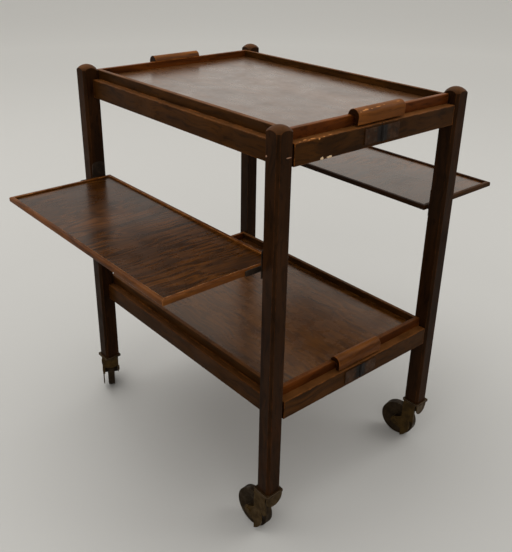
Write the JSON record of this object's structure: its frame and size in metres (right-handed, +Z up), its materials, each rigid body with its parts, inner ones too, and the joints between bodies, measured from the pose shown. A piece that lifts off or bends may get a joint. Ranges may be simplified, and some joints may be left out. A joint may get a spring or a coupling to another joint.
{
  "type": "drop leaf tea trolley",
  "caption": "Folding wooden tea trolley on castors, with lift-out trays above and below and a drop leaf along each long side.",
  "frame": {"origin": "on the floor, under the middle of the whole trolley with its castors as they stand", "axes": "+Z up, X along the trolley's long side, Y across it; the front frame is at -Y and the near end at +X"},
  "size_m": [0.6294, 0.7822, 0.7435],
  "materials": {
    "post_wood": "dark stained oak, satin varnish",
    "rail_wood": "dark stained oak, satin varnish",
    "tray_rim_wood": "dark stained oak, satin varnish",
    "tray_panel_wood": "stained oak veneer, glossy varnish",
    "handle_wood": "stained oak, worn to a warmer brown",
    "leaf_panel_wood": "figured oak veneer, glossy varnish",
    "leaf_rim_wood": "stained oak, worn edges",
    "hinge_metal": "dark tarnished steel",
    "plate_metal": "dark tarnished steel",
    "screw_metal": "dark tarnished steel",
    "castor_plate_metal": "dull, scuffed",
    "castor_hood_metal": "dull, dirty",
    "castor_wheel_metal": "dull, dirty, worn tread"
  },
  "bodies": {
    "front_frame": {"post_near": "post_wood", "post_left": "post_wood", "side_rail_front_top": "rail_wood", "side_rail_front_low": "rail_wood", "bearers_front": "rail_wood", "post_leaves_front": "hinge_metal", "bearing_plates_front": "plate_metal", "plate_screws_front": "screw_metal", "castor_plates_front": "castor_plate_metal"},
    "back_frame": {"post_right": "post_wood", "post_far": "post_wood", "side_rail_back_top": "rail_wood", "side_rail_back_low": "rail_wood", "bearers_back": "rail_wood", "post_leaves_back": "hinge_metal", "bearing_plates_back": "plate_metal", "plate_screws_back": "screw_metal", "castor_plates_back": "castor_plate_metal"},
    "right_rails_front": {"end_rail_right_front_top": "rail_wood", "end_rail_right_front_low": "rail_wood", "centre_hinge_right_front": "hinge_metal", "post_hinge_right_front": "hinge_metal", "hinge_screws_right_front": "screw_metal"},
    "right_rails_back": {"end_rail_right_back_top": "rail_wood", "end_rail_right_back_low": "rail_wood", "centre_hinge_right_back": "hinge_metal", "post_hinge_right_back": "hinge_metal", "hinge_screws_right_back": "screw_metal"},
    "left_rails_front": {"end_rail_left_front_top": "rail_wood", "end_rail_left_front_low": "rail_wood", "centre_hinge_left_front": "hinge_metal", "post_hinge_left_front": "hinge_metal", "hinge_screws_left_front": "screw_metal"},
    "left_rails_back": {"end_rail_left_back_top": "rail_wood", "end_rail_left_back_low": "rail_wood", "centre_hinge_left_back": "hinge_metal", "post_hinge_left_back": "hinge_metal", "hinge_screws_left_back": "screw_metal"},
    "top_tray": {"tray_top_panel": "tray_panel_wood", "tray_top_long_rims": "tray_rim_wood", "tray_top_end_rims": "tray_rim_wood", "tray_top_handles": "handle_wood"},
    "low_tray": {"tray_low_panel": "tray_panel_wood", "tray_low_long_rims": "tray_rim_wood", "tray_low_end_rims": "tray_rim_wood", "tray_low_handles": "handle_wood"},
    "leaf_front": {"leaf_front_panel": "leaf_panel_wood", "leaf_front_rim": "leaf_rim_wood", "leaf_front_straps": "plate_metal"},
    "leaf_back": {"leaf_back_panel": "leaf_panel_wood", "leaf_back_rim": "leaf_rim_wood", "leaf_back_straps": "plate_metal"},
    "castor_near": {"castor_hood_near": "castor_hood_metal"},
    "wheel_near": {"castor_wheel_near": "castor_wheel_metal"},
    "castor_left": {"castor_hood_left": "castor_hood_metal"},
    "wheel_left": {"castor_wheel_left": "castor_wheel_metal"},
    "castor_right": {"castor_hood_right": "castor_hood_metal"},
    "wheel_right": {"castor_wheel_right": "castor_wheel_metal"},
    "castor_far": {"castor_hood_far": "castor_hood_metal"},
    "wheel_far": {"castor_wheel_far": "castor_wheel_metal"}
  },
  "joints": [
    {"name": "fold", "type": "hinge", "parent": "front_frame", "child": "right_rails_front", "pos_m": [0.28441, -0.1851, 0.398], "axis": [0, 0, 1], "range_deg": [0, 90]},
    {"name": "fold_right_centre", "type": "hinge", "parent": "right_rails_front", "child": "right_rails_back", "pos_m": [0.31056, 0, 0.398], "axis": [0, 0, 1], "range_deg": [-188, 0]},
    {"name": "fold_back_frame", "type": "hinge", "parent": "right_rails_back", "child": "back_frame", "pos_m": [0.28441, 0.1851, 0.398], "axis": [0, 0, 1], "range_deg": [0, 94]},
    {"name": "fold_left", "type": "hinge", "parent": "front_frame", "child": "left_rails_front", "pos_m": [-0.23559, -0.1851, 0.398], "axis": [0, 0, 1], "range_deg": [-94, 0]},
    {"name": "fold_left_centre", "type": "hinge", "parent": "left_rails_front", "child": "left_rails_back", "pos_m": [-0.26175, 0, 0.398], "axis": [0, 0, 1], "range_deg": [0, 188]},
    {"name": "top_tray_lift", "type": "slide", "parent": "front_frame", "child": "top_tray", "axis": [0, 0, 1], "range_m": [0, 0.335]},
    {"name": "low_tray_draw", "type": "slide", "parent": "front_frame", "child": "low_tray", "axis": [1, 0, 0], "range_m": [0, 3.03]},
    {"name": "front_leaf_drop", "type": "hinge", "parent": "front_frame", "child": "leaf_front", "pos_m": [0.0244, -0.203, 0.5208], "axis": [1, 0, 0], "range_deg": [0, 90]},
    {"name": "back_leaf_drop", "type": "hinge", "parent": "back_frame", "child": "leaf_back", "pos_m": [0.0244, 0.203, 0.5208], "axis": [-1, 0, 0], "range_deg": [0, 90]},
    {"name": "swivel_near", "type": "hinge", "parent": "front_frame", "child": "castor_near", "pos_m": [0.2962, -0.2028, 0.092], "axis": [0, 0, 1], "continuous": true},
    {"name": "roll_near", "type": "hinge", "parent": "castor_near", "child": "wheel_near", "pos_m": [0.26425, -0.20447, 0.0365], "axis": [-0.0523, 0.9986, 0], "continuous": true},
    {"name": "swivel_left", "type": "hinge", "parent": "front_frame", "child": "castor_left", "pos_m": [-0.2474, -0.2028, 0.092], "axis": [0, 0, 1], "continuous": true},
    {"name": "roll_left", "type": "hinge", "parent": "castor_left", "child": "wheel_left", "pos_m": [-0.27538, -0.18729, 0.0365], "axis": [0.4848, 0.8746, 0], "continuous": true},
    {"name": "swivel_right", "type": "hinge", "parent": "back_frame", "child": "castor_right", "pos_m": [0.2962, 0.2028, 0.092], "axis": [0, 0, 1], "continuous": true},
    {"name": "roll_right", "type": "hinge", "parent": "castor_right", "child": "wheel_right", "pos_m": [0.2646, 0.19779, 0.0365], "axis": [-0.1564, 0.9877, 0], "continuous": true},
    {"name": "swivel_far", "type": "hinge", "parent": "back_frame", "child": "castor_far", "pos_m": [-0.2474, 0.2028, 0.092], "axis": [0, 0, 1], "continuous": true},
    {"name": "roll_far", "type": "hinge", "parent": "castor_far", "child": "wheel_far", "pos_m": [-0.27783, 0.19291, 0.0365], "axis": [-0.309, 0.9511, 0], "continuous": true}
  ],
  "couplings": [
    {"joint": "fold_right_centre", "follows": "fold", "ratio": -2},
    {"joint": "fold_back_frame", "follows": "fold", "ratio": 1},
    {"joint": "fold_left", "follows": "fold", "ratio": -1},
    {"joint": "fold_left_centre", "follows": "fold", "ratio": 2},
    {"joint": "top_tray_lift", "follows": "fold", "m_per_rad": 0.2031},
    {"joint": "low_tray_draw", "follows": "fold", "m_per_rad": 1.8456}
  ]
}
